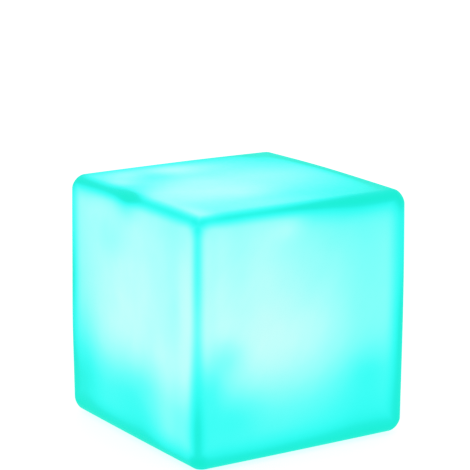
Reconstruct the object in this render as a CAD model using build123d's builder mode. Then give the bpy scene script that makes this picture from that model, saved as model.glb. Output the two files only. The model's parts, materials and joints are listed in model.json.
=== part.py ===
from build123d import *
import os
from math import cos, sin, radians

# Colour-changing cube light: a seamless translucent cube with a sealed,
# rechargeable light unit screwed up into its base.
# Millimetres, +Z up. Origin: centre of the base, on the plane the feet stand on.
# -Y is the face turned to the viewer.

os.makedirs("parts", exist_ok=True)

# ------------------------------------------------------------ moulded cube
SIDE = 200.0          # outer side of the cube
FOOT_GAP = 1.5        # the feet hold the cube this far off the ground
WALL = 3.0            # moulded wall thickness
EDGE_R = 11.0         # outer edge radius
RECESS_R = 64.0       # round recess in the base that takes the light unit
RECESS_DEPTH = 5.0
LIP_R = 2.0
MOUTH_R = 52.0        # hole through the recess floor
SCREW_R = 57.5        # radius of the unit's screw circle
SHELL_BOSS_R = 5.5
SHELL_BOSS_H = 11.0

# ------------------------------------------------------------- fasteners
INSERT_R = 3.0        # brass insert, outside
INSERT_BORE = 2.05
INSERT_LEN = 8.0
M4_R = 2.0
M4_LEN = 10.0
M4_HEAD_R = 3.75
M3_R = 1.45
M3_HEAD_R = 2.75
M25_R = 1.25
M25_HEAD_R = 2.25

# ------------------------------------------------------------------ feet
FOOT_R = 7.0
FOOT_H = 2.5
FOOT_POS = 74.0

# ------------------------------------------------------------ light unit
UNIT_Z = 2.5          # underside of the light unit
FLANGE_R = 63.5
FLANGE_T = 3.0
CUP_R = 50.0
CUP_WALL = 2.0
CUP_TOP = 32.0
DOME_BOSS_CIRCLE = 44.0
DOME_BOSS_R = 4.2
DOME_BOSS_TOP = 33.0
DOME_R = 41.0
DOME_WALL = 2.0
DOME_TOP = 50.0
DOME_CORNER = 12.0
RIM_T = 2.5

# --------------------------------------------------------------- boards
BOARD_T = 1.6
LED_BOARD_R = 39.0
LED_BOARD_Z = 29.0
LED_BOSS_CIRCLE = 35.0
LED_BOSS_R = 3.5
CTRL_Z = 18.5         # underside of the control board
CTRL_X = 28.0         # half width
CTRL_Y0, CTRL_Y1 = -30.0, 9.0
CTRL_SCREWS = [(-24.0, 5.0), (24.0, 5.0), (-24.0, -26.0), (24.0, -26.0)]

# ---------------------------------------------------------------- battery
CELL_R = 9.2
CELL_LEN = 65.2
CELL_Y = 20.0
CELL_Z = 15.7
CRADLE_HALF = 35.0
LEAD_R = 0.7

# ---------------------------------------------------------- power button
BTN_Y = -4.0
BTN_R = 8.0
BTN_T = 3.0
BTN_TRAVEL = 1.5
BTN_CLEAR = 0.1       # all round, in its bore
WELL_R = 10.1         # outside of the button's well
WELL_CEIL = 9.0       # underside of the well's ceiling
WELL_TOP = 10.5
STEM_R = 2.45
STEM_TOP = 13.0

# --------------------------------------------------------- charging port
PORT_Y = -24.0
PORT_W, PORT_D = 14.0, 9.0
PORT_CEIL = 10.0
SOCKET_W, SOCKET_D = 8.94, 3.26
FLAP_W, FLAP_D, FLAP_T = 20.0, 15.0, 1.0
HINGE_Y = -32.05
HINGE_Z = UNIT_Z
PLATE_W, PLATE_D, PLATE_Y = 36.0, 24.0, -26.6   # plate of the port insert
LEDGE_Z = 4.0

BASE_Z = FOOT_GAP
SEAT_Z = BASE_Z + RECESS_DEPTH            # recess floor
FLOOR_Z = UNIT_Z + FLANGE_T               # inside floor of the light unit
CTRL_TOP = CTRL_Z + BOARD_T
LED_TOP = LED_BOARD_Z + BOARD_T
LOW = (Align.CENTER, Align.CENTER, Align.MIN)


def ring_points(radius, count, start, z):
    return [
        (radius * cos(radians(start + 360.0 / count * i)),
         radius * sin(radians(start + 360.0 / count * i)), z)
        for i in range(count)
    ]


# ================================================================= shell
# hollow of the cube; the base recess and the insert bosses stand up into it
with BuildPart() as shell_void:
    with BuildSketch(Plane.XY.offset(BASE_Z + WALL)):
        Rectangle(SIDE - 2 * WALL, SIDE - 2 * WALL)
    extrude(amount=SIDE - 2 * WALL)
    fillet(shell_void.edges(), radius=EDGE_R - WALL)
    with BuildSketch(Plane.XY.offset(BASE_Z)):
        Circle(RECESS_R + WALL)
    extrude(amount=RECESS_DEPTH + WALL, mode=Mode.SUBTRACT)
    with BuildSketch(Plane.XY.offset(SEAT_Z)):
        with PolarLocations(SCREW_R, 4, start_angle=45):
            Circle(SHELL_BOSS_R)
    extrude(amount=SHELL_BOSS_H, mode=Mode.SUBTRACT)

with BuildPart() as cube_shell:
    with BuildSketch(Plane.XY.offset(BASE_Z)):
        Rectangle(SIDE, SIDE)
    extrude(amount=SIDE)
    fillet(cube_shell.edges(), radius=EDGE_R)
    add(shell_void.part, mode=Mode.SUBTRACT)
    with BuildSketch(Plane.XY.offset(BASE_Z)):
        Circle(RECESS_R)
    extrude(amount=RECESS_DEPTH, mode=Mode.SUBTRACT)
    # the plastic rolls softly into the recess
    lip = [edge for edge in cube_shell.edges().filter_by(GeomType.CIRCLE)
           if abs(edge.radius - RECESS_R) < 0.01 and edge.center().Z < BASE_Z + 0.1]
    fillet(lip, radius=LIP_R)
    with BuildSketch(Plane.XY.offset(BASE_Z)):
        Circle(MOUTH_R)
    extrude(amount=RECESS_DEPTH + WALL, mode=Mode.SUBTRACT)
    with BuildSketch(Plane.XY.offset(SEAT_Z)):
        with PolarLocations(SCREW_R, 4, start_angle=45):
            Circle(INSERT_R)
    extrude(amount=INSERT_LEN, mode=Mode.SUBTRACT)
    # shallow seats for the feet
    with BuildSketch(Plane.XY.offset(BASE_Z)):
        with GridLocations(2 * FOOT_POS, 2 * FOOT_POS, 2, 2):
            Circle(FOOT_R)
    extrude(amount=FOOT_H - FOOT_GAP, mode=Mode.SUBTRACT)
cube_shell.part.label = "cube_shell"
export_step(cube_shell.part, "parts/cube_shell.step")

with BuildPart() as shell_inserts:
    with BuildSketch(Plane.XY.offset(SEAT_Z)):
        with PolarLocations(SCREW_R, 4, start_angle=45):
            Circle(INSERT_R)
            Circle(INSERT_BORE, mode=Mode.SUBTRACT)
    extrude(amount=INSERT_LEN)
shell_inserts.part.label = "shell_inserts"
export_step(shell_inserts.part, "parts/shell_inserts.step")

with BuildPart() as rubber_feet:
    with BuildSketch():
        with GridLocations(2 * FOOT_POS, 2 * FOOT_POS, 2, 2):
            Circle(FOOT_R)
    extrude(amount=FOOT_H)
    chamfer(rubber_feet.edges().group_by(Axis.Z)[0], length=0.5)
rubber_feet.part.label = "rubber_feet"
export_step(rubber_feet.part, "parts/rubber_feet.step")

# ============================================================ light unit
# base plate: flange and floor, with the button's well
with BuildPart() as unit_housing:
    with BuildSketch(Plane.XY.offset(UNIT_Z)):
        Circle(FLANGE_R)
    extrude(amount=FLANGE_T)
    fillet(unit_housing.edges().group_by(Axis.Z)[0], radius=0.8)
    with BuildSketch(Plane.XY.offset(FLOOR_Z)):
        with Locations((0, BTN_Y)):
            Circle(WELL_R)
    extrude(amount=WELL_TOP - FLOOR_Z)
    # button bore, and the stem hole in the ceiling of its well
    with BuildSketch(Plane.XY.offset(UNIT_Z)):
        with Locations((0, BTN_Y)):
            Circle(BTN_R + BTN_CLEAR)
    extrude(amount=WELL_CEIL - UNIT_Z, mode=Mode.SUBTRACT)
    with BuildSketch(Plane.XY.offset(WELL_CEIL)):
        with Locations((0, BTN_Y)):
            Circle(STEM_R + BTN_CLEAR)
    extrude(amount=WELL_TOP - WELL_CEIL, mode=Mode.SUBTRACT)
    # stepped opening that the port insert is bonded into
    with BuildSketch(Plane.XY.offset(UNIT_Z)):
        with Locations((0, PLATE_Y)):
            RectangleRounded(PLATE_W + 0.2, PLATE_D + 0.2, 2.6)
    extrude(amount=LEDGE_Z - UNIT_Z, mode=Mode.SUBTRACT)
    with BuildSketch(Plane.XY.offset(LEDGE_Z)):
        with Locations((0, PLATE_Y)):
            RectangleRounded(PLATE_W + 2.2, PLATE_D + 2.2, 3.6)
    extrude(amount=FLOOR_Z - LEDGE_Z, mode=Mode.SUBTRACT)
    # countersunk holes for the fixing screws, from below
    with Locations(Plane(origin=(0, 0, UNIT_Z), z_dir=(0, 0, -1))):
        with PolarLocations(SCREW_R, 4, start_angle=45):
            CounterSinkHole(radius=2.15, counter_sink_radius=M4_HEAD_R + 0.15, depth=FLANGE_T)
unit_housing.part.label = "unit_housing"
export_step(unit_housing.part, "parts/unit_housing.step")

# wall welded on to the base plate, with bosses for the dome's screws
with BuildPart() as unit_wall:
    with BuildSketch(Plane.XY.offset(FLOOR_Z)):
        Circle(CUP_R)
        Circle(CUP_R - CUP_WALL, mode=Mode.SUBTRACT)
    extrude(amount=CUP_TOP - FLOOR_Z)
    with BuildSketch(Plane.XY.offset(FLOOR_Z)):
        with PolarLocations(DOME_BOSS_CIRCLE, 4):
            Circle(DOME_BOSS_R)
    extrude(amount=DOME_BOSS_TOP - FLOOR_Z)
    # each boss is tied to the wall by a rib
    with BuildSketch(Plane.XY.offset(FLOOR_Z)):
        with PolarLocations(DOME_BOSS_CIRCLE + 2.5, 4):
            Rectangle(5, 5)
    extrude(amount=CUP_TOP - FLOOR_Z)
    with BuildSketch(Plane.XY.offset(DOME_BOSS_TOP - 10)):
        with PolarLocations(DOME_BOSS_CIRCLE, 4):
            Circle(M3_R + 0.05)
    extrude(amount=10, mode=Mode.SUBTRACT)
unit_wall.part.label = "unit_wall"
export_step(unit_wall.part, "parts/unit_wall.step")

# posts that carry the LED board (tall) and the control board (short)
with BuildPart() as board_posts:
    with BuildSketch(Plane.XY.offset(FLOOR_Z)):
        with PolarLocations(LED_BOSS_CIRCLE, 4):
            Circle(LED_BOSS_R)
    extrude(amount=LED_BOARD_Z - FLOOR_Z)
    with BuildSketch(Plane.XY.offset(FLOOR_Z)):
        with Locations(*CTRL_SCREWS):
            Circle(3.0)
    extrude(amount=CTRL_Z - FLOOR_Z)
    with BuildSketch(Plane.XY.offset(LED_BOARD_Z - 9)):
        with PolarLocations(LED_BOSS_CIRCLE, 4):
            Circle(M3_R + 0.05)
    extrude(amount=9, mode=Mode.SUBTRACT)
    with BuildSketch(Plane.XY.offset(CTRL_Z - 6)):
        with Locations(*CTRL_SCREWS):
            Circle(M25_R + 0.05)
    extrude(amount=6, mode=Mode.SUBTRACT)
board_posts.part.label = "board_posts"
export_step(board_posts.part, "parts/board_posts.step")

# insert with the charging port's well, flush with the base plate on both sides
with BuildPart() as port_insert:
    with BuildSketch(Plane.XY.offset(UNIT_Z)):
        with Locations((0, PLATE_Y)):
            RectangleRounded(PLATE_W, PLATE_D, 2.5)
    extrude(amount=LEDGE_Z - UNIT_Z)
    with BuildSketch(Plane.XY.offset(LEDGE_Z)):
        with Locations((0, PLATE_Y)):
            RectangleRounded(PLATE_W + 2, PLATE_D + 2, 3.5)
    extrude(amount=FLOOR_Z - LEDGE_Z)
    with BuildSketch(Plane.XY.offset(FLOOR_Z)):
        with Locations((0, PORT_Y)):
            RectangleRounded(PORT_W + 4, PORT_D + 4, 5.5)
    extrude(amount=PORT_CEIL + 1.5 - FLOOR_Z)
    with BuildSketch(Plane.XY.offset(FLOOR_Z)):
        with Locations((14, PORT_Y)):
            Circle(3.2)
    extrude(amount=4.0)
    # flap pocket, with a finger scoop at the flap's free edge
    with BuildSketch(Plane.XY.offset(UNIT_Z)):
        with Locations((0, PORT_Y)):
            RectangleRounded(FLAP_W + 0.4, FLAP_D + 0.4, 2.2)
        with Locations((0, PORT_Y + FLAP_D / 2 - 1.5)):
            Circle(2.8)
    extrude(amount=FLAP_T + 0.1, mode=Mode.SUBTRACT)
    # plug well, and the socket slot in its ceiling
    with BuildSketch(Plane.XY.offset(UNIT_Z)):
        with Locations((0, PORT_Y)):
            RectangleRounded(PORT_W, PORT_D, 3.5)
    extrude(amount=PORT_CEIL - UNIT_Z, mode=Mode.SUBTRACT)
    with BuildSketch(Plane.XY.offset(PORT_CEIL)):
        with Locations((0, PORT_Y)):
            RectangleRounded(SOCKET_W + 0.16, SOCKET_D + 0.16, 1.6)
    extrude(amount=1.5, mode=Mode.SUBTRACT)
    # slot that holds the flap's anchor, open to the pocket
    with BuildSketch(Plane.XY.offset(UNIT_Z)):
        with Locations((0, (-34.5 - 31.0) / 2)):
            Rectangle(12, 3.5)
    extrude(amount=2.5, mode=Mode.SUBTRACT)
    # light pipe bore
    with BuildSketch(Plane.XY.offset(UNIT_Z)):
        with Locations((14, PORT_Y)):
            Circle(1.55)
    extrude(amount=FLOOR_Z + 4.0 - UNIT_Z, mode=Mode.SUBTRACT)
port_insert.part.label = "port_insert"
export_step(port_insert.part, "parts/port_insert.step")

with BuildPart() as flange_gasket:
    with BuildSketch(Plane.XY.offset(FLOOR_Z)):
        Circle(FLANGE_R - 0.7)
        Circle(MOUTH_R + 0.6, mode=Mode.SUBTRACT)
        with PolarLocations(SCREW_R, 4, start_angle=45):
            Circle(2.2, mode=Mode.SUBTRACT)
    extrude(amount=SEAT_Z - FLOOR_Z)
flange_gasket.part.label = "flange_gasket"
export_step(flange_gasket.part, "parts/flange_gasket.step")

# countersunk cross-head screws, heads flush with the flange
with BuildPart() as flange_screws:
    with Locations(*ring_points(SCREW_R, 4, 45, UNIT_Z)):
        Cone(M4_HEAD_R, M4_R, M4_HEAD_R - M4_R, align=LOW)
        Cylinder(M4_R, M4_LEN, align=LOW)
        Box(4.0, 0.9, 1.6, align=LOW, mode=Mode.SUBTRACT)
        Box(0.9, 4.0, 1.6, align=LOW, mode=Mode.SUBTRACT)
flange_screws.part.label = "flange_screws"
export_step(flange_screws.part, "parts/flange_screws.step")

with BuildPart() as dome_seal:
    with BuildSketch(Plane.XY.offset(CUP_TOP)):
        Circle(CUP_R - 0.2)
        Circle(CUP_R - CUP_WALL + 0.3, mode=Mode.SUBTRACT)
    extrude(amount=DOME_BOSS_TOP - CUP_TOP)
dome_seal.part.label = "dome_seal"
export_step(dome_seal.part, "parts/dome_seal.step")

with BuildPart() as diffuser_dome:
    with BuildSketch(Plane.XZ):
        with BuildLine():
            Line((DOME_R - DOME_WALL, DOME_BOSS_TOP), (CUP_R, DOME_BOSS_TOP))
            Line((CUP_R, DOME_BOSS_TOP), (CUP_R, DOME_BOSS_TOP + RIM_T))
            Line((CUP_R, DOME_BOSS_TOP + RIM_T), (DOME_R, DOME_BOSS_TOP + RIM_T))
            Line((DOME_R, DOME_BOSS_TOP + RIM_T), (DOME_R, DOME_TOP - DOME_CORNER))
            CenterArc((DOME_R - DOME_CORNER, DOME_TOP - DOME_CORNER), DOME_CORNER, 0, 90)
            Line((DOME_R - DOME_CORNER, DOME_TOP), (0, DOME_TOP))
            Line((0, DOME_TOP), (0, DOME_TOP - DOME_WALL))
            Line((0, DOME_TOP - DOME_WALL), (DOME_R - DOME_CORNER, DOME_TOP - DOME_WALL))
            CenterArc((DOME_R - DOME_CORNER, DOME_TOP - DOME_CORNER), DOME_CORNER - DOME_WALL, 0, 90)
            Line((DOME_R - DOME_WALL, DOME_TOP - DOME_CORNER), (DOME_R - DOME_WALL, DOME_BOSS_TOP))
        make_face()
    revolve(axis=Axis.Z)
    with BuildSketch(Plane.XY.offset(DOME_BOSS_TOP)):
        with PolarLocations(DOME_BOSS_CIRCLE, 4):
            Circle(1.6)
    extrude(amount=RIM_T, mode=Mode.SUBTRACT)
diffuser_dome.part.label = "diffuser_dome"
export_step(diffuser_dome.part, "parts/diffuser_dome.step")

with BuildPart() as dome_screws:
    with Locations(*ring_points(DOME_BOSS_CIRCLE, 4, 0, DOME_BOSS_TOP - 9 + RIM_T)):
        Cylinder(M3_R, 9, align=LOW)
    with Locations(*ring_points(DOME_BOSS_CIRCLE, 4, 0, DOME_BOSS_TOP + RIM_T)):
        Cylinder(M3_HEAD_R, 1.8, align=LOW)
    chamfer(dome_screws.edges().group_by(Axis.Z)[-1], length=0.4)
    with Locations(*ring_points(DOME_BOSS_CIRCLE, 4, 0, DOME_BOSS_TOP + RIM_T + 0.7)):
        Box(3.2, 0.7, 1.2, align=LOW, mode=Mode.SUBTRACT)
        Box(0.7, 3.2, 1.2, align=LOW, mode=Mode.SUBTRACT)
dome_screws.part.label = "dome_screws"
export_step(dome_screws.part, "parts/dome_screws.step")

# ============================================================ LED board
with BuildPart() as led_board:
    with BuildSketch(Plane.XY.offset(LED_BOARD_Z)):
        Circle(LED_BOARD_R)
        with PolarLocations(LED_BOSS_CIRCLE, 4):
            Circle(1.6, mode=Mode.SUBTRACT)
    extrude(amount=BOARD_T)
led_board.part.label = "led_board"
export_step(led_board.part, "parts/led_board.step")

with BuildPart() as led_board_screws:
    with Locations(*ring_points(LED_BOSS_CIRCLE, 4, 0, LED_TOP - 8)):
        Cylinder(M3_R, 8, align=LOW)
    with Locations(*ring_points(LED_BOSS_CIRCLE, 4, 0, LED_TOP)):
        Cylinder(M3_HEAD_R, 1.8, align=LOW)
    chamfer(led_board_screws.edges().group_by(Axis.Z)[-1], length=0.4)
    with Locations(*ring_points(LED_BOSS_CIRCLE, 4, 0, LED_TOP + 0.7)):
        Box(3.2, 0.7, 1.2, align=LOW, mode=Mode.SUBTRACT)
        Box(0.7, 3.2, 1.2, align=LOW, mode=Mode.SUBTRACT)
led_board_screws.part.label = "led_board_screws"
export_step(led_board_screws.part, "parts/led_board_screws.step")

# surface-mount colour LEDs: an outer ring and an inner ring
LED_SPOTS = ring_points(28.0, 8, 22.5, LED_TOP) + ring_points(14.0, 4, 0, LED_TOP)
with BuildPart() as rgb_leds:
    with Locations(*LED_SPOTS):
        Box(5.0, 5.0, 1.6, align=LOW)
    with Locations(*[(x, y, z + 1.35) for x, y, z in LED_SPOTS]):
        Cylinder(2.0, 0.5, align=LOW, mode=Mode.SUBTRACT)
rgb_leds.part.label = "rgb_leds"
export_step(rgb_leds.part, "parts/rgb_leds.step")

# remote-control receiver: a block with a round window on its front
with BuildPart() as ir_receiver:
    with Locations((0, 0, LED_TOP)):
        Box(7.0, 4.0, 7.0, align=LOW)
    with Locations(Location((0, -2.0, LED_TOP + 4.2), (90, 0, 0))):
        Sphere(2.4, arc_size1=0, arc_size2=90)
ir_receiver.part.label = "ir_receiver"
export_step(ir_receiver.part, "parts/ir_receiver.step")

# ========================================================= control board
with BuildPart() as control_board:
    with BuildSketch(Plane.XY.offset(CTRL_Z)):
        with Locations((0, (CTRL_Y0 + CTRL_Y1) / 2)):
            RectangleRounded(2 * CTRL_X, CTRL_Y1 - CTRL_Y0, 2)
        with Locations(*CTRL_SCREWS):
            Circle(1.4, mode=Mode.SUBTRACT)
    extrude(amount=BOARD_T)
control_board.part.label = "control_board"
export_step(control_board.part, "parts/control_board.step")

with BuildPart() as control_board_screws:
    with Locations(*[(x, y, CTRL_TOP - 7) for x, y in CTRL_SCREWS]):
        Cylinder(M25_R, 7, align=LOW)
    with Locations(*[(x, y, CTRL_TOP) for x, y in CTRL_SCREWS]):
        Cylinder(M25_HEAD_R, 1.5, align=LOW)
    with Locations(*[(x, y, CTRL_TOP + 0.6) for x, y in CTRL_SCREWS]):
        Box(2.6, 0.6, 1.0, align=LOW, mode=Mode.SUBTRACT)
        Box(0.6, 2.6, 1.0, align=LOW, mode=Mode.SUBTRACT)
control_board_screws.part.label = "control_board_screws"
export_step(control_board_screws.part, "parts/control_board_screws.step")

# microcontroller with a row of legs down each side
with BuildPart() as microcontroller:
    with Locations((-6, -7, CTRL_TOP + 0.15)):
        Box(9.9, 3.9, 1.5, align=LOW)
    with Locations((-6, -7, CTRL_TOP)):
        with GridLocations(1.27, 0, 7, 1):
            Box(0.45, 6.0, 0.45, align=LOW)
    with Locations((-10.0, -8.2, CTRL_TOP + 1.5)):
        Cylinder(0.4, 0.3, align=LOW, mode=Mode.SUBTRACT)
microcontroller.part.label = "microcontroller"
export_step(microcontroller.part, "parts/microcontroller.step")

with BuildPart() as charge_controller:
    with Locations((1.5, -20, CTRL_TOP)):
        Box(4.9, 3.9, 1.5, align=LOW)
        with GridLocations(1.27, 0, 4, 1):
            Box(0.45, 6.0, 0.4, align=LOW)
charge_controller.part.label = "charge_controller"
export_step(charge_controller.part, "parts/charge_controller.step")

# three identical current drivers, one for each colour
with BuildPart() as led_drivers:
    with Locations((-20, -11, CTRL_TOP), (-20, -6, CTRL_TOP), (-20, -1, CTRL_TOP)):
        Box(3.0, 1.7, 1.2, align=LOW)
        with GridLocations(0.95, 0, 3, 1):
            Box(0.4, 2.9, 0.35, align=LOW)
led_drivers.part.label = "led_drivers"
export_step(led_drivers.part, "parts/led_drivers.step")

with BuildPart() as inductor:
    with BuildSketch(Plane.XY.offset(CTRL_TOP)):
        with Locations((10.5, -12.5)):
            RectangleRounded(8, 8, 1.5)
    extrude(amount=4.0)
    chamfer(inductor.edges().group_by(Axis.Z)[-1], length=0.5)
inductor.part.label = "inductor"
export_step(inductor.part, "parts/inductor.step")

with BuildPart() as capacitor:
    with Locations((21, -14, CTRL_TOP)):
        Box(6.6, 6.6, 0.9, align=LOW)
        Cylinder(3.15, 7.0, align=LOW)
    fillet(capacitor.edges().group_by(Axis.Z)[-1], radius=0.4)
capacitor.part.label = "capacitor"
export_step(capacitor.part, "parts/capacitor.step")

# six-way link between the two boards
with BuildPart() as link_header:
    with BuildSketch(Plane.XY.offset(CTRL_TOP)):
        with Locations((-16.5, -18)):
            Rectangle(15.24, 2.5)
    extrude(amount=LED_BOARD_Z - CTRL_TOP)
    with Locations(*[(-16.5 + 2.54 * i, -18, 0) for i in (-2, -1, 0, 1, 2)]):
        with Locations((0, 1.25, CTRL_TOP), (0, -1.25, CTRL_TOP)):
            Box(0.4, 0.5, LED_BOARD_Z - CTRL_TOP, align=LOW, mode=Mode.SUBTRACT)
link_header.part.label = "link_header"
export_step(link_header.part, "parts/link_header.step")

with BuildPart() as battery_connector:
    with Locations((14, -1, CTRL_TOP)):
        Box(7.9, 6.0, 5.8, align=LOW)
    with Locations((14, -2.0, CTRL_TOP + 5.0)):
        Box(5.0, 4.0, 0.8, align=LOW, mode=Mode.SUBTRACT)
battery_connector.part.label = "battery_connector"
export_step(battery_connector.part, "parts/battery_connector.step")

with BuildPart() as charge_led:
    with Locations((14, PORT_Y, CTRL_Z - 0.8)):
        Box(2.0, 1.25, 0.8, align=LOW)
charge_led.part.label = "charge_led"
export_step(charge_led.part, "parts/charge_led.step")

# clear rod that carries the charging light down through the floor
with BuildPart() as indicator_light_pipe:
    with Locations((14, PORT_Y, UNIT_Z)):
        Cylinder(1.5, CTRL_Z - 0.8 - 0.2 - UNIT_Z, align=LOW)
    with Locations((14, PORT_Y, FLOOR_Z + 4.0)):
        Cylinder(2.4, 1.0, align=LOW)
indicator_light_pipe.part.label = "indicator_light_pipe"
export_step(indicator_light_pipe.part, "parts/indicator_light_pipe.step")

# charging socket: stamped shell, tongue, closed back
with BuildPart() as usb_socket:
    with BuildSketch(Plane.XY.offset(PORT_CEIL)):
        with Locations((0, PORT_Y)):
            RectangleRounded(SOCKET_W, SOCKET_D, 1.55)
    extrude(amount=CTRL_Z - PORT_CEIL)
    with BuildSketch(Plane.XY.offset(PORT_CEIL)):
        with Locations((0, PORT_Y)):
            RectangleRounded(SOCKET_W - 0.6, SOCKET_D - 0.6, 1.25)
    extrude(amount=6.4, mode=Mode.SUBTRACT)
    with BuildSketch(Plane.XY.offset(PORT_CEIL + 0.6)):
        with Locations((0, PORT_Y)):
            Rectangle(6.7, 0.7)
    extrude(amount=6.0)
usb_socket.part.label = "usb_socket"
export_step(usb_socket.part, "parts/usb_socket.step")

# ================================================================ battery
with BuildPart() as battery_cell:
    with Locations(Location((0, CELL_Y, CELL_Z), (0, 90, 0))):
        Cylinder(CELL_R, CELL_LEN)
    fillet(battery_cell.edges().filter_by(GeomType.CIRCLE), radius=0.6)
battery_cell.part.label = "battery_cell"
export_step(battery_cell.part, "parts/battery_cell.step")

# open trough with low end stops
with BuildPart() as battery_cradle:
    with Locations((0, CELL_Y, FLOOR_Z)):
        Box(2 * CRADLE_HALF, 2 * (CELL_R + 1.6), CELL_Z - FLOOR_Z, align=LOW)
    with Locations(Location((0, CELL_Y, CELL_Z), (0, 90, 0))):
        Cylinder(CELL_R + 0.05, 2 * (CRADLE_HALF - 2), mode=Mode.SUBTRACT)
    with Locations((CRADLE_HALF - 1, CELL_Y, 12.5), (1 - CRADLE_HALF, CELL_Y, 12.5)):
        Box(2.0, 30.0, 6.0, align=LOW, mode=Mode.SUBTRACT)
battery_cradle.part.label = "battery_cradle"
export_step(battery_cradle.part, "parts/battery_cradle.step")

# strap over the cell, its feet on the trough's side walls
with BuildPart() as battery_strap:
    with BuildSketch(Plane.YZ.offset(-4.0)):
        with Locations((CELL_Y, CELL_Z)):
            Circle(CELL_R + 0.65)
            Circle(CELL_R + 0.05, mode=Mode.SUBTRACT)
        with Locations((CELL_Y, CELL_Z - 10)):
            Rectangle(24, 20, mode=Mode.SUBTRACT)
    extrude(amount=8.0)
battery_strap.part.label = "battery_strap"
export_step(battery_strap.part, "parts/battery_strap.step")


# flexible leads from the cell's ends round to the connector on the board
def lead_points(side, end_x):
    cell_end = side * CELL_LEN / 2
    return [
        (cell_end, CELL_Y, 19.0),
        (side * 38.5, CELL_Y, 19.0),
        (side * 38.5, 8.6, 22.0),
        (side * 27.0, 6.9, 23.4),
        (end_x, 6.9, 23.4),
        (end_x, 2.0, 23.4),
    ]


LEAD_RADII = [3.0, 3.6, 4.0, 2.6]
with BuildPart() as battery_lead_red:
    with BuildLine() as red_path:
        FilletPolyline(*lead_points(1, 15.4), radius=LEAD_RADII)
    with BuildSketch(Plane(origin=red_path.line @ 0, z_dir=red_path.line % 0)):
        Circle(LEAD_R)
    sweep(path=red_path.line)
battery_lead_red.part.label = "battery_lead_red"
export_step(battery_lead_red.part, "parts/battery_lead_red.step")

with BuildPart() as battery_lead_black:
    with BuildLine() as black_path:
        FilletPolyline(*lead_points(-1, 12.6), radius=LEAD_RADII)
    with BuildSketch(Plane(origin=black_path.line @ 0, z_dir=black_path.line % 0)):
        Circle(LEAD_R)
    sweep(path=black_path.line)
battery_lead_black.part.label = "battery_lead_black"
export_step(battery_lead_black.part, "parts/battery_lead_black.step")

for lead, path in ((battery_lead_red, red_path), (battery_lead_black, black_path)):
    run = sum(edge.length for edge in path.edges())
    print(lead.part.label, "radii", LEAD_RADII, "length", round(run, 2),
          "volume", round(lead.part.volume, 2),
          "section x length", round(3.14159265 * LEAD_R ** 2 * run, 2))

# =========================================================== power button
with BuildPart() as power_button:
    with Locations((0, BTN_Y, UNIT_Z)):
        Cylinder(BTN_R, BTN_T, align=LOW)
        Cylinder(STEM_R, STEM_TOP - UNIT_Z, align=LOW)
    # soft edge round the pressed face
    fillet(power_button.edges().group_by(Axis.Z)[0], radius=0.5)
    # groove for the O-ring
    with BuildSketch(Plane.XY.offset(UNIT_Z + 1.2)):
        with Locations((0, BTN_Y)):
            Circle(BTN_R + 0.5)
            Circle(BTN_R - 0.9, mode=Mode.SUBTRACT)
    extrude(amount=1.0, mode=Mode.SUBTRACT)
    # groove for the retaining clip
    with BuildSketch(Plane.XY.offset(WELL_TOP)):
        with Locations((0, BTN_Y)):
            Circle(STEM_R + 0.5)
            Circle(1.8, mode=Mode.SUBTRACT)
    extrude(amount=0.7, mode=Mode.SUBTRACT)
    # plain power mark, sunk into the pressed face
    with BuildSketch(Plane.XY.offset(UNIT_Z)):
        with Locations((0, BTN_Y)):
            Circle(3.3)
            Circle(2.6, mode=Mode.SUBTRACT)
        with Locations((0, BTN_Y + 3.0)):
            Rectangle(2.2, 2.4, mode=Mode.SUBTRACT)
            Rectangle(0.7, 3.0)
    extrude(amount=0.3, mode=Mode.SUBTRACT)
power_button.part.label = "power_button"
export_step(power_button.part, "parts/power_button.step")

with BuildPart() as button_seal:
    with Locations((0, BTN_Y, UNIT_Z + 1.7)):
        Torus(BTN_R - 0.4, 0.45)
button_seal.part.label = "button_seal"
export_step(button_seal.part, "parts/button_seal.step")

# retaining clip, open on one side
with BuildPart() as button_clip:
    with BuildSketch(Plane.XY.offset(WELL_TOP + 0.05)):
        with Locations((0, BTN_Y)):
            Circle(4.5)
            Circle(1.8, mode=Mode.SUBTRACT)
        with Locations((0, BTN_Y - 3.0)):
            Rectangle(2.6, 4.0, mode=Mode.SUBTRACT)
    extrude(amount=0.6)
button_clip.part.label = "button_clip"
export_step(button_clip.part, "parts/button_clip.step")

# return spring between the cap and the ceiling of the well
SPRING_WIRE = 0.2
SPRING_R = 5.2
SPRING_LOW = UNIT_Z + BTN_T + SPRING_WIRE
SPRING_HIGH = WELL_CEIL - SPRING_WIRE
SPRING_TURNS = 3.25
with BuildPart() as button_spring:
    with BuildLine() as spring_path:
        Helix(pitch=(SPRING_HIGH - SPRING_LOW) / SPRING_TURNS, height=SPRING_HIGH - SPRING_LOW,
              radius=SPRING_R, center=(0, BTN_Y, SPRING_LOW))
    with BuildSketch(Plane(origin=spring_path.line @ 0, z_dir=spring_path.line % 0)):
        Circle(SPRING_WIRE)
    sweep(path=spring_path.line, is_frenet=True)
button_spring.part.label = "button_spring"
export_step(button_spring.part, "parts/button_spring.step")

with BuildPart() as switch_plunger:
    with Locations((0, BTN_Y, STEM_TOP)):
        Cylinder(1.7, 3.5, align=LOW)
switch_plunger.part.label = "switch_plunger"
export_step(switch_plunger.part, "parts/switch_plunger.step")

with BuildPart() as push_switch:
    with BuildSketch(Plane.XY.offset(CTRL_Z - 3.5)):
        with Locations((0, BTN_Y)):
            RectangleRounded(7, 7, 0.8)
    extrude(amount=3.5)
    with BuildSketch(Plane.XY.offset(CTRL_Z - 3.5)):
        with Locations((0, BTN_Y)):
            Circle(1.8)
    extrude(amount=3.2, mode=Mode.SUBTRACT)
push_switch.part.label = "push_switch"
export_step(push_switch.part, "parts/push_switch.step")

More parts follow.
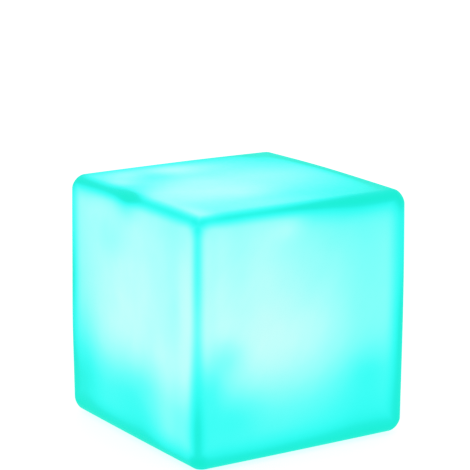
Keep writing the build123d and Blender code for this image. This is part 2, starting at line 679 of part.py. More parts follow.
# ============================================================== port flap
# anchor pressed into the housing; the flap turns on the thin web beside it
with BuildPart() as port_flap_anchor:
    with BuildSketch(Plane.XY.offset(UNIT_Z)):
        with Locations((0, (-34.5 - 32.2) / 2)):
            Rectangle(12, 2.3)
    extrude(amount=2.5)
port_flap_anchor.part.label = "port_flap_anchor"
export_step(port_flap_anchor.part, "parts/port_flap_anchor.step")

with BuildPart() as port_flap:
    with BuildSketch(Plane.XY.offset(UNIT_Z)):
        with Locations((0, PORT_Y)):
            RectangleRounded(FLAP_W, FLAP_D, 2.0)
    extrude(amount=FLAP_T)
    # plug that closes the well
    with BuildSketch(Plane.XY.offset(UNIT_Z + FLAP_T)):
        with Locations((0, PORT_Y)):
            RectangleRounded(PORT_W - 0.6, PORT_D - 0.8, 3.2)
    extrude(amount=1.5)
    # thin web towards the hinge line
    with BuildSketch(Plane.XY.offset(UNIT_Z)):
        with Locations((0, -31.6)):
            Rectangle(11, 0.6)
    extrude(amount=0.6)
port_flap.part.label = "port_flap"
export_step(port_flap.part, "parts/port_flap.step")
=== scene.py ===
import bpy, bmesh, json, math
import numpy as np
from mathutils import Vector, Matrix


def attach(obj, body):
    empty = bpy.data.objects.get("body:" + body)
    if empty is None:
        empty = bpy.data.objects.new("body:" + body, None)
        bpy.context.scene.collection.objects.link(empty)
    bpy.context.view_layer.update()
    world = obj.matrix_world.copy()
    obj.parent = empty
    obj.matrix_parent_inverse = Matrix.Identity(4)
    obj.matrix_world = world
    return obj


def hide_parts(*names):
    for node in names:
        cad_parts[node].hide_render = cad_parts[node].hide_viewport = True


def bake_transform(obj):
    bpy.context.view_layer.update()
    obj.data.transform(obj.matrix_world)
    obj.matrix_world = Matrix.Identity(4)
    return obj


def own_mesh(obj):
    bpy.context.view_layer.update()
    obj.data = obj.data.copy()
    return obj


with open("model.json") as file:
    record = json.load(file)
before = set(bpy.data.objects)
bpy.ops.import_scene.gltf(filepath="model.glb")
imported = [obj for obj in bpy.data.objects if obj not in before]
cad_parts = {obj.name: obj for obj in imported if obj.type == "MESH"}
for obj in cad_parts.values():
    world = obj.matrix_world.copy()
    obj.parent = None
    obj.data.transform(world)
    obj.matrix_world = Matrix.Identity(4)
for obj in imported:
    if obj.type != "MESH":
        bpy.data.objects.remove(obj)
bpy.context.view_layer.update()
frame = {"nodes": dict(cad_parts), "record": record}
NODES = frame["nodes"]

# ---------------------------------------------------------------- sizes (m)
MM = 0.001
HALF = 100.0 * MM          # half the side of the cube
EDGE_R = 11.0 * MM
WALL = 3.0 * MM
ZC = 101.5 * MM            # height of the cube's middle
BASE_Z = 1.5 * MM
RECESS_R = 64.0 * MM
SEAT_Z = 6.5 * MM
LIP_R = 2.0 * MM
MOUTH_R = 52.0 * MM


# ============================================================== mesh helpers
def mesh_object(name, verts, faces, mat=None, smooth=35.0):
    me = bpy.data.meshes.new(name)
    me.from_pydata([tuple(v) for v in verts], [], faces)
    me.validate()
    me.update()
    ob = bpy.data.objects.new(name, me)
    bpy.context.scene.collection.objects.link(ob)
    tidy(ob, smooth)
    if mat:
        me.materials.append(mat)
    return ob


def tidy(ob, smooth=35.0):
    bm = bmesh.new()
    bm.from_mesh(ob.data)
    bmesh.ops.recalc_face_normals(bm, faces=bm.faces)
    bm.to_mesh(ob.data)
    bm.free()
    ob.data.shade_smooth()
    ob.data.set_sharp_from_angle(angle=math.radians(smooth))


def lathe(name, profile, centre=(0.0, 0.0), segments=128):
    """Closed solid turned round a vertical axis. profile: (radius, z) from the axis at the bottom to the axis at the top."""
    verts, faces, rows = [], [], []
    cx, cy = centre
    for r, z in profile:
        if r < 1e-9:
            rows.append([len(verts)])
            verts.append((cx, cy, z))
        else:
            rows.append(list(range(len(verts), len(verts) + segments)))
            for i in range(segments):
                a = 2 * math.pi * i / segments
                verts.append((cx + r * math.cos(a), cy + r * math.sin(a), z))
    for lo, hi in zip(rows, rows[1:]):
        for i in range(segments):
            j = (i + 1) % segments
            if len(lo) == 1 and len(hi) == 1:
                continue
            if len(lo) == 1:
                faces.append((lo[0], hi[j], hi[i]))
            elif len(hi) == 1:
                faces.append((lo[i], lo[j], hi[0]))
            else:
                faces.append((lo[i], lo[j], hi[j], hi[i]))
    return mesh_object(name, verts, faces)


def drum(name, r, z0, z1, centre=(0.0, 0.0), segments=96):
    return lathe(name, [(0, z0), (r, z0), (r, z1), (0, z1)], centre, segments)


def carve(target, cutters, operation="DIFFERENCE"):
    """Boolean with each cutter in turn; the cutters are removed."""
    for cutter in cutters:
        mod = target.modifiers.new("carve", "BOOLEAN")
        mod.operation, mod.solver, mod.object = operation, "EXACT", cutter
        dg = bpy.context.evaluated_depsgraph_get()
        made = bpy.data.meshes.new_from_object(target.evaluated_get(dg))
        old = target.data
        target.modifiers.clear()
        target.data = made
        bpy.data.meshes.remove(old)
        bpy.data.objects.remove(cutter)
    return target


def clean(ob):
    """Cuts up the many-sided faces that a boolean leaves, and drops faces that double back on themselves."""
    bm = bmesh.new()
    bm.from_mesh(ob.data)
    bmesh.ops.remove_doubles(bm, verts=bm.verts, dist=0.002 * MM)
    bmesh.ops.triangulate(bm, faces=[f for f in bm.faces if len(f.verts) > 4])
    bm.verts.index_update()
    seen = {}
    for f in bm.faces:
        seen.setdefault(frozenset(v.index for v in f.verts), []).append(f)
    twins = [f for group in seen.values() if len(group) > 1 for f in group]
    if twins:
        bmesh.ops.delete(bm, geom=twins, context="FACES")
    bm.to_mesh(ob.data)
    bm.free()


def shaped(p, n, half):
    """The slight pillow shape and gentle unevenness of the moulded walls."""
    q = p / half
    x, y, z = q[:, 0].copy(), q[:, 1].copy(), q[:, 2].copy()
    k = 0.0125
    out = q.copy()
    out[:, 0] = x * (1 - k * (y * y + z * z) / 2)
    out[:, 1] = y * (1 - k * (x * x + z * z) / 2)
    out[:, 2] = np.where(z > 0, z * (1 - k * (x * x + y * y) / 2), z)
    out = out * half
    # corners are rounder than the edges
    corner = np.abs(n[:, 0] * n[:, 1] * n[:, 2]) / 0.19245
    out = out - n * (0.5 * MM * corner)[:, None]
    # long, shallow waves; none near the flat base
    X, Y, Z = p[:, 0] / MM, p[:, 1] / MM, p[:, 2] / MM
    wave = (np.sin(X / 23.0 + 0.7 * np.sin(Z / 31.0)) * np.sin(Z / 27.0 + 1.3)
            + np.sin(Y / 25.0 + 0.5 * np.sin(Z / 29.0) + 2.1) * np.sin(Z / 33.0 + 0.4)
            + np.sin(X / 29.0 + 1.1) * np.sin(Y / 24.0 + 0.3))
    fade = np.clip((Z + 92.0) / 25.0, 0, 1) ** 2
    out = out - n * (0.06 * MM * (1.0 + 0.6 * wave) * fade)[:, None]
    # two places where the moulding stands a little fuller
    for way, at, reach, much in (((0, 0, 1), (100, 10, 100), (45, 68, 30), 0.55),
                                 ((-0.839, 0.544, 0), (-100, 100, -25), (40, 40, 38), 0.5)):
        far = ((X - at[0]) / reach[0]) ** 2 + ((Y - at[1]) / reach[1]) ** 2 + ((Z - at[2]) / reach[2]) ** 2
        out = out + np.array(way) * (much * MM * np.exp(-far))[:, None]
    return out


def rounded_cube(name, half, radius, flat=44, bend=8):
    """Closed cube with rounded edges, as an even grid on each face that gets finer over the edges."""
    core = half - radius
    t = [half * 0 + core + radius * math.tan(math.pi / 4 * i / bend) for i in range(1, bend + 1)]
    line = [-v for v in reversed(t)] + list(np.linspace(-core, core, flat + 1)) + t
    line = np.array(line)
    n = len(line)
    A, B = np.meshgrid(line, line, indexing="ij")
    a, b, one = A.ravel(), B.ravel(), np.full(n * n, half)
    sides = [np.stack(s, 1) for s in (
        (one, a, b), (-one, a, b), (a, one, b), (a, -one, b), (a, b, one), (a, b, -one))]
    pts = np.concatenate(sides)
    faces = []
    for s in range(6):
        base = s * n * n
        for i in range(n - 1):
            for j in range(n - 1):
                v = base + i * n + j
                faces.append((v, v + n, v + n + 1, v + 1))
    key = np.round(pts / (0.001 * MM)).astype(np.int64)
    _, first, inverse = np.unique(key, axis=0, return_index=True, return_inverse=True)
    inverse = inverse.ravel()
    pts = pts[first]
    faces = [tuple(int(inverse[v]) for v in f) for f in faces]
    c = np.clip(pts, -core, core)
    nrm = pts - c
    nrm /= np.linalg.norm(nrm, axis=1, keepdims=True)
    surf = shaped(c + radius * nrm, nrm, half)
    surf[:, 2] += ZC
    return mesh_object(name, surf, faces)


# ================================================================ materials
def srgb(r, g, b):
    """Screen values 0 to 255 as linear light."""
    out = []
    for c in (r, g, b):
        c /= 255.0
        out.append(c / 12.92 if c <= 0.04045 else ((c + 0.055) / 1.055) ** 2.4)
    return (*out, 1.0)


class Net:
    """Short way to write node trees."""

    def __init__(self, name):
        self.mat = bpy.data.materials.new(name)
        self.mat.use_nodes = True
        self.tree = self.mat.node_tree
        self.shader = self.tree.nodes["Principled BSDF"]
        self._coord = None

    def put(self, socket, value):
        if isinstance(value, bpy.types.NodeSocket):
            self.tree.links.new(value, socket)
        else:
            socket.default_value = value

    def coord(self):
        if self._coord is None:
            self._coord = self.tree.nodes.new("ShaderNodeTexCoord")
        return self._coord

    def place(self, scale=1.0, stretch=(1, 1, 1)):
        node = self.tree.nodes.new("ShaderNodeMapping")
        self.put(node.inputs["Vector"], self.coord().outputs["Object"])
        node.inputs["Scale"].default_value = [scale * s for s in stretch]
        return node.outputs["Vector"]

    def math(self, op, a, b=None, c=None, clamp=False):
        node = self.tree.nodes.new("ShaderNodeMath")
        node.operation, node.use_clamp = op, clamp
        for socket, value in zip(node.inputs, (a, b, c)):
            if value is not None:
                self.put(socket, value)
        return node.outputs[0]

    def vmath(self, op, a, b=None, c=None):
        node = self.tree.nodes.new("ShaderNodeVectorMath")
        node.operation = op
        for socket, value in zip(node.inputs, (a, b, c)):
            if value is not None:
                self.put(socket, value)
        return node.outputs["Value"] if op in ("DOT_PRODUCT", "LENGTH", "DISTANCE") else node.outputs["Vector"]

    def noise(self, vector, scale=1.0, detail=2.0, rough=0.5, out="Fac"):
        node = self.tree.nodes.new("ShaderNodeTexNoise")
        self.put(node.inputs["Vector"], vector)
        node.inputs["Scale"].default_value = scale
        node.inputs["Detail"].default_value = detail
        node.inputs["Roughness"].default_value = rough
        return node.outputs[out]

    def voronoi(self, vector, scale=1.0, feature="F1"):
        node = self.tree.nodes.new("ShaderNodeTexVoronoi")
        node.feature = feature
        self.put(node.inputs["Vector"], vector)
        node.inputs["Scale"].default_value = scale
        return node.outputs["Distance"]

    def ramp(self, fac, stops, interpolation="LINEAR"):
        node = self.tree.nodes.new("ShaderNodeValToRGB")
        self.put(node.inputs["Fac"], fac)
        r = node.color_ramp
        r.interpolation = interpolation
        while len(r.elements) > 1:
            r.elements.remove(r.elements[-1])
        r.elements[0].position, r.elements[0].color = stops[0]
        for pos, col in stops[1:]:
            e = r.elements.new(pos)
            e.color = col
        return node.outputs["Color"]

    def span(self, value, a, b, c, d, smooth=True):
        node = self.tree.nodes.new("ShaderNodeMapRange")
        node.interpolation_type = "SMOOTHSTEP" if smooth else "LINEAR"
        self.put(node.inputs["Value"], value)
        for key, v in (("From Min", a), ("From Max", b), ("To Min", c), ("To Max", d)):
            self.put(node.inputs[key], v)
        return node.outputs["Result"]

    def mix(self, fac, a, b):
        """a + fac * (b - a), for numbers."""
        node = self.tree.nodes.new("ShaderNodeMix")
        node.data_type = "FLOAT"
        self.put(node.inputs["Factor"], fac)
        self.put(node.inputs["A"], a)
        self.put(node.inputs["B"], b)
        return node.outputs["Result"]

    def bump(self, height, strength, distance, normal=None):
        node = self.tree.nodes.new("ShaderNodeBump")
        self.put(node.inputs["Height"], height)
        node.inputs["Strength"].default_value = strength
        node.inputs["Distance"].default_value = distance
        if normal is not None:
            self.put(node.inputs["Normal"], normal)
        return node.outputs["Normal"]

    def split(self, vector):
        node = self.tree.nodes.new("ShaderNodeSeparateXYZ")
        self.put(node.inputs[0], vector)
        return node.outputs["X"], node.outputs["Y"], node.outputs["Z"]

    def join(self, x, y, z=0.0):
        node = self.tree.nodes.new("ShaderNodeCombineXYZ")
        for socket, v in zip(node.inputs, (x, y, z)):
            self.put(socket, v)
        return node.outputs[0]

    def set(self, **values):
        for key, v in values.items():
            self.put(self.shader.inputs[key.replace("_", " ")], v)


# ------------------------------------------------------- the lit cube's skin
# Soft lobes of light on each wall, in millimetres from the middle of the face:
# (across, up, half-width across, half-width up, strength). The light unit sits
# a little off centre and the wall's thickness wanders, so they are uneven.
FRONT = (0.20, [
    (-4, -15, 120, 48, 0.37), (-92, 57, 27, 88, 0.45), (51, 49, 71, 70, 0.50), (-86, -33, 13, 18, -0.22),
    (54, 24, 38, 90, -0.28), (-67, -57, 33, 19, -0.15), (96, -6, 9, 36, -0.31), (54, 92, 83, 9, -0.21),
    (-43, 89, 36, 120, 0.38), (59, -41, 21, 16, -0.09), (-73, -12, 15, 15, -0.18), (-16, 85, 16, 11, 0.13)])
SIDE = (0.02, [
    (-22, -32, 100, 69, 0.50), (74, 57, 120, 103, 0.50), (-66, 98, 106, 92, 0.50), (65, -61, 30, 45, 0.49),
    (87, -9, 11, 115, 0.25), (52, -59, 120, 28, -0.37), (-94, 18, 9, 31, -0.32), (-5, 100, 18, 15, -0.43),
    (32, -62, 24, 14, 0.10), (-78, 95, 56, 9, -0.30), (-25, 64, 25, 21, -0.10), (-70, -45, 24, 42, -0.15)])
TOP = (0.02, [
    (-75, -16, 63, 95, 0.50), (26, 0, 90, 77, 0.50), (-103, 40, 42, 38, -0.50), (-84, 41, 16, 17, 0.40),
    (-50, 65, 66, 21, 0.43), (-101, 2, 11, 15, -0.50), (-91, -115, 13, 50, 0.45), (91, 37, 10, 110, -0.42),
    (-45, 58, 17, 21, -0.26), (-16, -44, 28, 24, 0.13), (-14, -85, 52, 17, 0.17), (68, 111, 11, 45, -0.18)])
# the colour that each level of light shows: (level, screen red, green, blue)
TONES = [(0.00, 6, 214, 186), (0.06, 14, 238, 212), (0.11, 27, 241, 224), (0.15, 38, 249, 237), (0.20, 50, 253, 244),
         (0.26, 65, 254, 247), (0.39, 99, 255, 250), (0.50, 128, 255, 250), (0.63, 160, 255, 252), (0.76, 194, 255, 252),
         (0.90, 228, 255, 254)]


def less(colour, own=(0.0, 0.11, 0.12)):
    """A screen colour as emission: the part that the surface reflects from the room comes off."""
    return (*[max(c - o, 0.0) for c, o in zip(colour, own)], 1.0)


def lit_skin():
    m = Net("lit_polyethylene")
    pos = m.vmath("MULTIPLY", m.coord().outputs["Object"], (1000, 1000, 1000))
    pos = m.vmath("SUBTRACT", pos, (0, 0, ZC / MM))
    X, Y, Z = m.split(pos)
    NX, NY, NZ = m.split(m.coord().outputs["Normal"])
    wx, wy, wz = (m.math("MULTIPLY", n, n) for n in (NX, NY, NZ))
    sx, sy = m.math("SIGN", X), m.math("SIGN", Y)
    # opposite walls carry the same light, turned half round
    uf = m.math("MULTIPLY", m.math("MULTIPLY", X, sy), -1.0)
    us = m.math("MULTIPLY", Y, sx)

    def field(spec, u, v):
        point = m.join(u, v)
        total = spec[0]
        for cu, cv, ru, rv, a in spec[1]:
            d = m.vmath("MULTIPLY_ADD", point, (1.0 / ru, 1.0 / rv, 0), (-cu / ru, -cv / rv, 0))
            d = m.vmath("DOT_PRODUCT", d, d)
            g = m.math("EXPONENT", m.math("MULTIPLY", d, -1.0))
            total = m.math("MULTIPLY_ADD", g, a, total)
        return total

    front = field(FRONT, uf, Z)
    side = field(SIDE, us, Z)
    top = field(TOP, X, Y)
    below = m.span(Z, -60, -40, 1.0, 0.0)
    top = m.mix(below, top, 0.17)
    level = m.math("MULTIPLY", wy, front)
    level = m.math("MULTIPLY_ADD", wx, side, level)
    level = m.math("MULTIPLY_ADD", wz, top, level)

    # painted shade: the edges are darkened, partly where thicker plastic along them holds the light back and partly for
    # the darker look of the translucent wall seen edge-on;
    # the darkening is least on the upright edge at -X -Y, and deepest along the base and the far edges
    ax, ay, az = m.split(m.vmath("ABSOLUTE", pos))

    def reach(p, q):
        return m.vmath("LENGTH", m.vmath("SUBTRACT", m.join(p, q), (96, 96, 0)))

    def dark(r, deep, wide, power=2.0):
        t = m.math("POWER", m.math("DIVIDE", r, wide), power)
        return m.math("SUBTRACT", 1.0, m.math("MULTIPLY", m.math("EXPONENT", m.math("MULTIPLY", t, -1.0)), deep))

    # near the upright edge at -X -Y the painted dark band is narrower and fainter
    post = m.vmath("MULTIPLY_ADD", m.join(X, Y), (1 / 30.0, 1 / 30.0, 0), (100 / 30.0, 100 / 30.0, 0))
    post = m.math("EXPONENT", m.math("MULTIPLY", m.vmath("DOT_PRODUCT", post, post), -1.0))
    mid = m.math("MULTIPLY_ADD", Z, 1 / 30.0, -0.4)
    mid = m.math("EXPONENT", m.math("MULTIPLY", m.math("MULTIPLY", mid, mid), -1.0))
    rv = reach(ax, ay)
    near_post = dark(rv, m.math("MULTIPLY_ADD", mid, -0.16, 0.56), m.span(Z, -40, 10, 6.0, 4.0))
    # painted shade: the dark bands on the upright edges are widest and deepest on the walls that face -X and -Y, narrow
    # on the walls turned away
    ahead = m.math("MULTIPLY", m.math("ADD", NX, NY), -1.0)
    upright = m.mix(post, dark(rv, m.span(ahead, -0.95, -0.3, 0.5, 0.68), m.span(ahead, -0.95, -0.3, 6.5, 14.5), 3.0),
                    near_post)
    upper = m.span(Z, -20, 20, 0.0, 1.0)
    # painted shade: the top edges at +X and +Y get a wider dark band on the top face than on the walls
    rear = m.span(NZ, 0.3, 0.95, 6.0, 12.0)

    def level_edge(r, near, deep):
        return dark(r, m.mix(upper, deep, m.mix(near, 0.62, 0.72)), m.mix(upper, 13.0, m.mix(near, rear, 5.6)))

    along_x = level_edge(reach(ay, az), m.span(Y, -20, 20, 1.0, 0.0), 0.72)
    along_y = level_edge(reach(ax, az), m.span(X, -20, 20, 1.0, 0.0), 0.84)
    # painted shade of all the edges, joined into one factor
    edge_shade = m.math("SMOOTH_MIN", m.math("SMOOTH_MIN", upright, along_x, 0.1), along_y, 0.1)
    level = m.math("MULTIPLY", level, edge_shade)
    # painted shade: the corners are darkened further
    tip = m.vmath("SUBTRACT", m.join(ax, ay, az), (95, 95, 92.5))
    level = m.math("MULTIPLY", level, dark(m.vmath("LENGTH", tip), 0.42, 6.5))

    # unevenness of the moulded wall
    cloud = m.noise(m.place(1.0), 26.0, 2.0, 0.5)
    level = m.math("MULTIPLY", level, m.span(cloud, 0.25, 0.75, 0.98, 1.02, False))
    # smoky streaks that lean across the walls
    lean = m.join(m.vmath("DOT_PRODUCT", pos, (0.50, 0.0, 0.86)), m.vmath("DOT_PRODUCT", pos, (0.86, 0.0, -0.50)), Y)
    smoke = m.noise(m.vmath("MULTIPLY", lean, (0.013, 0.038, 0.038)), 1.0, 3.0, 0.6)
    level = m.math("MULTIPLY", level, m.span(smoke, 0.25, 0.75, 0.972, 1.028, False))
    level = m.math("SMOOTH_MAX", level, m.mix(wz, 0.04, 0.08), 0.12)

    glow = m.ramp(level, [(t, less(srgb(r, g, b))) for t, r, g, b in TONES])
    tint = m.noise(m.place(1.0), 9.0, 3.0, 0.6)
    base = m.ramp(tint, [(0.3, (0.004, 0.090, 0.095, 1)), (0.7, (0.005, 0.105, 0.11, 1))])
    peel = m.noise(m.place(1.0), 420.0, 2.0, 0.5)
    grain = m.noise(m.place(1.0), 2600.0, 2.0, 0.6)
    rough = m.span(peel, 0.3, 0.7, 0.42, 0.52, False)
    normal = m.bump(peel, 0.35, 0.00006)
    normal = m.bump(grain, 0.25, 0.00001, normal)
    m.set(Base_Color=base, Roughness=rough, Normal=normal, Emission_Color=glow)
    m.shader.inputs["Emission Strength"].default_value = 1.0
    m.shader.inputs["Specular IOR Level"].default_value = 0.02
    m.shader.inputs["Specular Tint"].default_value = (0.25, 1.0, 1.0, 1.0)
    m.shader.inputs["IOR"].default_value = 1.5
    return m.mat


def moulded(name, dark, light, rough, grain=1800.0, depth=0.00002, patch=60.0, glow=None, strength=0.0, sheen=None):
    """Moulded plastic or rubber: faint cloudiness in the colour, a fine grain and uneven gloss."""
    m = Net(name)
    cloud = m.noise(m.place(1.0), patch, 3.0, 0.55)
    m.set(Base_Color=m.ramp(cloud, [(0.3, (*dark, 1)), (0.7, (*light, 1))]))
    fine = m.noise(m.place(1.0), grain, 3.0, 0.6)
    m.set(Roughness=m.span(fine, 0.3, 0.7, rough[0], rough[1], False), Normal=m.bump(fine, 0.4, depth))
    if glow:
        m.set(Emission_Color=m.ramp(cloud, [(0.3, glow[0]), (0.7, glow[1])]))
        m.shader.inputs["Emission Strength"].default_value = strength
    if sheen:
        m.shader.inputs["Sheen Weight"].default_value = sheen
    return m.mat


def metal(name, dark, light, rough, brush=(1, 1, 1), scale=700.0, depth=0.000008):
    """Metal with fine marks along one direction."""
    m = Net(name)
    marks = m.noise(m.place(scale, brush), 1.0, 3.0, 0.65)
    stain = m.noise(m.place(1.0), 90.0, 3.0, 0.5)
    m.set(Base_Color=m.ramp(stain, [(0.3, (*dark, 1)), (0.7, (*light, 1))]),
          Roughness=m.span(marks, 0.3, 0.7, rough[0], rough[1], False), Normal=m.bump(marks, 0.3, depth))
    m.shader.inputs["Metallic"].default_value = 1.0
    return m.mat


def board(name, mask_dark, mask_light, copper, rough):
    """Printed circuit board: lacquer with fine tracks showing through as slightly raised lighter lines."""
    m = Net(name)
    cells = m.tree.nodes.new("ShaderNodeTexBrick")
    m.put(cells.inputs["Vector"], m.place(1.0))
    cells.inputs["Scale"].default_value = 260.0
    cells.inputs["Mortar Size"].default_value = 0.06
    cells.inputs["Color1"].default_value = (0, 0, 0, 1)
    cells.inputs["Color2"].default_value = (0.25, 0.25, 0.25, 1)
    cells.inputs["Mortar"].default_value = (1, 1, 1, 1)
    tracks = cells.outputs["Color"]
    m.set(Base_Color=m.ramp(tracks, [(0.0, (*mask_dark, 1)), (0.4, (*mask_light, 1)), (1.0, (*copper, 1))]))
    weave = m.noise(m.place(1.0), 900.0, 2.0, 0.5)
    m.set(Roughness=m.span(weave, 0.3, 0.7, rough[0], rough[1], False), Normal=m.bump(tracks, 0.3, 0.00003))
    return m.mat


SKIN = lit_skin()
LIT = (srgb(70, 254, 247), srgb(120, 255, 250))
MATS = {
    "lit_shell": SKIN,
    "brass_insert": metal("brass_insert", (0.55, 0.38, 0.13), (0.66, 0.47, 0.18), (0.24, 0.38), (1, 1, 6)),
    "foot_rubber": moulded("foot_rubber", (0.018, 0.018, 0.02), (0.028, 0.028, 0.03), (0.72, 0.86), 1500.0, 0.00004),
    "unit_plastic": moulded("unit_plastic", (0.70, 0.71, 0.71), (0.75, 0.76, 0.76), (0.46, 0.6), 2200.0, 0.00003),
    "seal_silicone": moulded("seal_silicone", (0.42, 0.43, 0.44), (0.48, 0.49, 0.5), (0.55, 0.7), 1200.0, 0.00003),
    "screw_steel": metal("screw_steel", (0.5, 0.5, 0.51), (0.6, 0.6, 0.61), (0.22, 0.36), (1, 6, 1)),
    "diffuser_plastic": moulded("diffuser_plastic", (0.35, 0.6, 0.62), (0.42, 0.68, 0.7), (0.35, 0.45), 1500.0, 0.00002, 30.0, LIT, 0.9),
    "white_board": board("white_board", (0.8, 0.8, 0.79), (0.84, 0.84, 0.83), (0.76, 0.75, 0.72), (0.22, 0.32)),
    "led_package": moulded("led_package", (0.8, 0.8, 0.72), (0.86, 0.86, 0.8), (0.2, 0.3), 1800.0, 0.00001, 60.0,
                           (srgb(150, 255, 251), srgb(190, 255, 252)), 1.5),
    "chip_black": moulded("chip_black", (0.012, 0.012, 0.013), (0.02, 0.02, 0.021), (0.5, 0.62), 2400.0, 0.00002),
    "green_board": board("green_board", (0.008, 0.09, 0.035), (0.01, 0.12, 0.045), (0.03, 0.2, 0.08), (0.2, 0.32)),
    "ferrite": moulded("ferrite", (0.03, 0.03, 0.032), (0.05, 0.05, 0.052), (0.6, 0.75), 1600.0, 0.00003),
    "capacitor_can": metal("capacitor_can", (0.62, 0.63, 0.64), (0.7, 0.71, 0.72), (0.2, 0.32), (1, 1, 8)),
    "connector_plastic": moulded("connector_plastic", (0.68, 0.64, 0.54), (0.74, 0.7, 0.6), (0.4, 0.52)),
    "clear_plastic": moulded("clear_plastic", (0.72, 0.8, 0.8), (0.78, 0.85, 0.85), (0.08, 0.16), 900.0, 0.000005),
    "socket_steel": metal("socket_steel", (0.6, 0.6, 0.62), (0.68, 0.68, 0.7), (0.16, 0.28), (6, 1, 1)),
    "cell_wrap": moulded("cell_wrap", (0.012, 0.045, 0.24), (0.018, 0.06, 0.3), (0.2, 0.3), 700.0, 0.00001),
    "cradle_plastic": moulded("cradle_plastic", (0.012, 0.012, 0.013), (0.022, 0.022, 0.024), (0.45, 0.58)),
    "strap_plastic": moulded("strap_plastic", (0.014, 0.014, 0.016), (0.024, 0.024, 0.026), (0.4, 0.55)),
    "lead_red": moulded("lead_red", (0.33, 0.008, 0.006), (0.4, 0.012, 0.009), (0.4, 0.52)),
    "lead_black": moulded("lead_black", (0.01, 0.01, 0.01), (0.018, 0.018, 0.018), (0.4, 0.52)),
    "plunger_plastic": moulded("plunger_plastic", (0.03, 0.03, 0.034), (0.045, 0.045, 0.05), (0.35, 0.48)),
    "button_plastic": moulded("button_plastic", (0.5, 0.51, 0.52), (0.56, 0.57, 0.58), (0.38, 0.5), 2000.0, 0.00002),
    "oring_rubber": moulded("oring_rubber", (0.01, 0.01, 0.01), (0.016, 0.016, 0.016), (0.5, 0.62)),
    "spring_steel": metal("spring_steel", (0.46, 0.46, 0.48), (0.56, 0.56, 0.58), (0.18, 0.3), (1, 1, 5)),
    "flap_silicone": moulded("flap_silicone", (0.46, 0.47, 0.48), (0.52, 0.53, 0.54), (0.6, 0.75), 1400.0, 0.00003, 60.0, None, 0.0, 0.15),
}

slot_of = {s["node"]: s["material_slot"] for s in frame["record"]["subparts"]}
for node, ob in NODES.items():
    ob.data.materials.clear()
    ob.data.materials.append(MATS[slot_of[node]])


# =================================================================== pieces
def cube_skin():
    """The moulded cube: crowned outer skin, its hollow, the stepped recess in the base and the seats of the feet."""
    skin = rounded_cube("cube_skin", HALF, EDGE_R)
    void = rounded_cube("void", HALF - WALL, EDGE_R - WALL, 30, 5)
    posts = []
    for i in range(4):
        a = math.radians(45 + 90 * i)
        posts.append((57.5 * MM * math.cos(a), 57.5 * MM * math.sin(a)))
    carve(void, [drum("step", RECESS_R + WALL, -5 * MM, SEAT_Z + WALL)]
          + [drum("post", 5.5 * MM, 2 * MM, 17.5 * MM, c, 40) for c in posts])
    arc = [(RECESS_R + LIP_R - LIP_R * math.cos(t), BASE_Z + LIP_R - LIP_R * math.sin(t))
           for t in [math.radians(90 - 15 * i) for i in range(7)]]
    lip = [(0, -2 * MM), (RECESS_R + LIP_R + 0.001 * MM, -2 * MM)] + arc + [(RECESS_R, SEAT_Z), (0, SEAT_Z)]
    cutters = [void, lathe("recess", lip), drum("mouth", MOUTH_R, 2 * MM, 12 * MM)]
    cutters += [drum("bore", 3.0 * MM, 5 * MM, 14.5 * MM, c, 32) for c in posts]
    cutters += [drum("seat", 7.0 * MM, -1 * MM, 2.5 * MM, (sx * 74 * MM, sy * 74 * MM), 48)
                for sx in (-1, 1) for sy in (-1, 1)]
    carve(skin, cutters)
    clean(skin)
    tidy(skin, 38)
    skin.data.materials.clear()
    skin.data.materials.append(SKIN)
    return skin


skin = cube_skin()
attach(skin, "lamp_body")
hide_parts("cube_shell")


def spring():
    """Coil between the button's cap and the ceiling of its well."""
    wire, mean, turns, low, high, cy = 0.2 * MM, 5.2 * MM, 3.25, 5.7 * MM, 8.8 * MM, -4.0 * MM
    steps, around = 156, 10
    verts, faces = [], []
    for i in range(steps + 1):
        a = 2 * math.pi * turns * i / steps
        z = low + (high - low) * i / steps
        c = Vector((mean * math.cos(a), cy + mean * math.sin(a), z))
        out = Vector((math.cos(a), math.sin(a), 0))
        along = Vector((-mean * math.sin(a), mean * math.cos(a), (high - low) / (2 * math.pi * turns))).normalized()
        side = along.cross(out)
        for j in range(around):
            b = 2 * math.pi * j / around
            verts.append(c + wire * (math.cos(b) * out + math.sin(b) * side))
    for i in range(steps):
        for j in range(around):
            k = (j + 1) % around
            faces.append((i * around + j, i * around + k, (i + 1) * around + k, (i + 1) * around + j))
    faces.append(tuple(range(around)))
    faces.append(tuple(steps * around + j for j in reversed(range(around))))
    return mesh_object("coil_spring", verts, faces, MATS["spring_steel"], 50)


coil = spring()
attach(coil, "lamp_body")
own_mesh(coil)
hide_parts("button_spring")


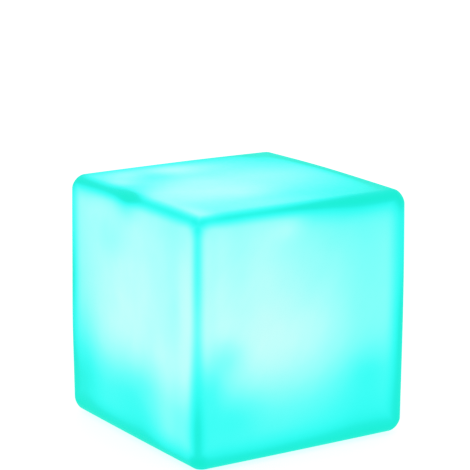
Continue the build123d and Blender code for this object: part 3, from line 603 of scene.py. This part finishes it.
def slab(name, half_w, y0, y1, z0, z1, radius=0.0, soft=0.0, cuts=1, arc=7):
    """Upright block with rounded corners in plan, soft upper and lower rims, and even cuts along Y where it is plain."""
    if radius <= 0:
        ys = np.linspace(y0, y1, cuts + 1)
        verts, faces = [], []
        for y in ys:
            verts += [(-half_w, y, z0), (half_w, y, z0), (half_w, y, z1), (-half_w, y, z1)]
        for i in range(cuts):
            for j in range(4):
                k = (j + 1) % 4
                faces.append((4 * i + j, 4 * i + k, 4 * i + 4 + k, 4 * i + 4 + j))
        faces.append((0, 1, 2, 3))
        faces.append(tuple(4 * cuts + j for j in (3, 2, 1, 0)))
        return mesh_object(name, verts, faces)
    cy, hd = (y0 + y1) / 2, (y1 - y0) / 2
    rings = [(soft * (1 - math.sin(math.pi / 2 * i / 4)), z0 + soft * (1 - math.cos(math.pi / 2 * i / 4))) for i in range(5)]
    rings += [(inset, z0 + z1 - z) for inset, z in reversed(rings)]
    verts, faces = [], []
    for inset, z in rings:
        for q in range(4):
            ox = (half_w - radius) * (1 if q in (0, 3) else -1)
            oy = (hd - radius) * (1 if q in (0, 1) else -1)
            for i in range(arc):
                a = math.pi / 2 * (q + i / (arc - 1))
                verts.append((ox + (radius - inset) * math.cos(a), cy + oy + (radius - inset) * math.sin(a), z))
    n = 4 * arc
    for r in range(len(rings) - 1):
        for i in range(n):
            j = (i + 1) % n
            faces.append((r * n + i, r * n + j, (r + 1) * n + j, (r + 1) * n + i))
    faces.append(tuple(reversed(range(n))))
    faces.append(tuple((len(rings) - 1) * n + i for i in range(n)))
    return mesh_object(name, verts, faces)


def flap():
    """Silicone flap over the charging port, in one piece with its web and the anchor that is pressed into the insert."""
    plate = slab("port_cover", 10.0 * MM, -31.5 * MM, -16.5 * MM, 2.5 * MM, 3.5 * MM, 2.0 * MM, 0.22 * MM)
    carve(plate, [
        slab("plug", 6.7 * MM, -28.1 * MM, -19.9 * MM, 3.2 * MM, 5.0 * MM, 3.2 * MM, 0.2 * MM),
        slab("anchor", 6.0 * MM, -34.5 * MM, -32.2 * MM, 2.5 * MM, 5.0 * MM),
        slab("web", 5.5 * MM, -32.6 * MM, -31.2 * MM, 2.56 * MM, 3.1 * MM, cuts=28)], "UNION")
    tidy(plate, 40)
    plate.data.materials.clear()
    plate.data.materials.append(MATS["flap_silicone"])
    return plate


cover = flap()
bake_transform(cover)
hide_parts("port_flap", "port_flap_anchor")


# ==================================================================== stage
def plain(name, colour, rough, glow=0.0):
    m = Net(name)
    m.set(Base_Color=(*colour, 1), Roughness=rough)
    m.shader.inputs["Specular IOR Level"].default_value = 0.1
    if glow:
        m.shader.inputs["Emission Color"].default_value = (1, 1, 1, 1)
        m.shader.inputs["Emission Strength"].default_value = glow
    return m.mat


floor = mesh_object("floor", [(-9, -9, 0), (9, -9, 0), (9, 9, 0), (-9, 9, 0)], [(0, 1, 2, 3)],
                    plain("floor_white", (0.35, 0.35, 0.35), 0.6, 0.75))

world = bpy.data.worlds.new("studio")
bpy.context.scene.world = world
world.use_nodes = True
world.node_tree.nodes["Background"].inputs["Color"].default_value = (1, 1, 1, 1)
world.node_tree.nodes["Background"].inputs["Strength"].default_value = 1.0


def softbox(name, place, aim, size, power):
    light = bpy.data.lights.new(name, "AREA")
    light.shape, light.size, light.size_y, light.energy = "RECTANGLE", size[0], size[1], power
    ob = bpy.data.objects.new(name, light)
    ob.location = place
    ob.rotation_mode = "QUATERNION"
    ob.rotation_quaternion = (Vector(aim) - Vector(place)).to_track_quat("-Z", "Y")
    bpy.context.scene.collection.objects.link(ob)
    return ob


softbox("key", (-1.2, -1.0, 1.9), (0, 0, 0.1), (1.4, 1.4), 6.0)
softbox("fill", (1.6, -0.6, 1.4), (0, 0, 0.1), (1.2, 1.2), 2.5)

# =================================================================== camera
AZ, EL, ROLL = math.radians(-32.96), math.radians(13.26), math.radians(0.236)
DIST, FOCAL = 1757.0 * MM, 2177.5
SLIDE, LIFT = -0.42 * MM, 53.58 * MM
back = Vector((math.sin(AZ) * math.cos(EL), -math.cos(AZ) * math.cos(EL), math.sin(EL)))
right = (-back).cross(Vector((0, 0, 1))).normalized()
up = right.cross(-back)
right, up = math.cos(ROLL) * right + math.sin(ROLL) * up, math.cos(ROLL) * up - math.sin(ROLL) * right
eye = Vector((0, 0, ZC)) + back * DIST + right * SLIDE + up * LIFT
cam_data = bpy.data.cameras.new("camera")
cam_data.sensor_width = 36.0
cam_data.lens = FOCAL / 470.0 * 36.0
cam_data.clip_start, cam_data.clip_end = 0.05, 60.0
camera = bpy.data.objects.new("camera", cam_data)
bpy.context.scene.collection.objects.link(camera)
camera.matrix_world = Matrix((
    (right.x, up.x, back.x, eye.x), (right.y, up.y, back.y, eye.y), (right.z, up.z, back.z, eye.z), (0, 0, 0, 1)))
bpy.context.scene.camera = camera

bpy.context.scene.view_settings.view_transform = "Standard"
bpy.context.scene.view_settings.look = "None"
bpy.context.scene.view_settings.exposure = 0.0
bpy.context.scene.view_settings.gamma = 1.0
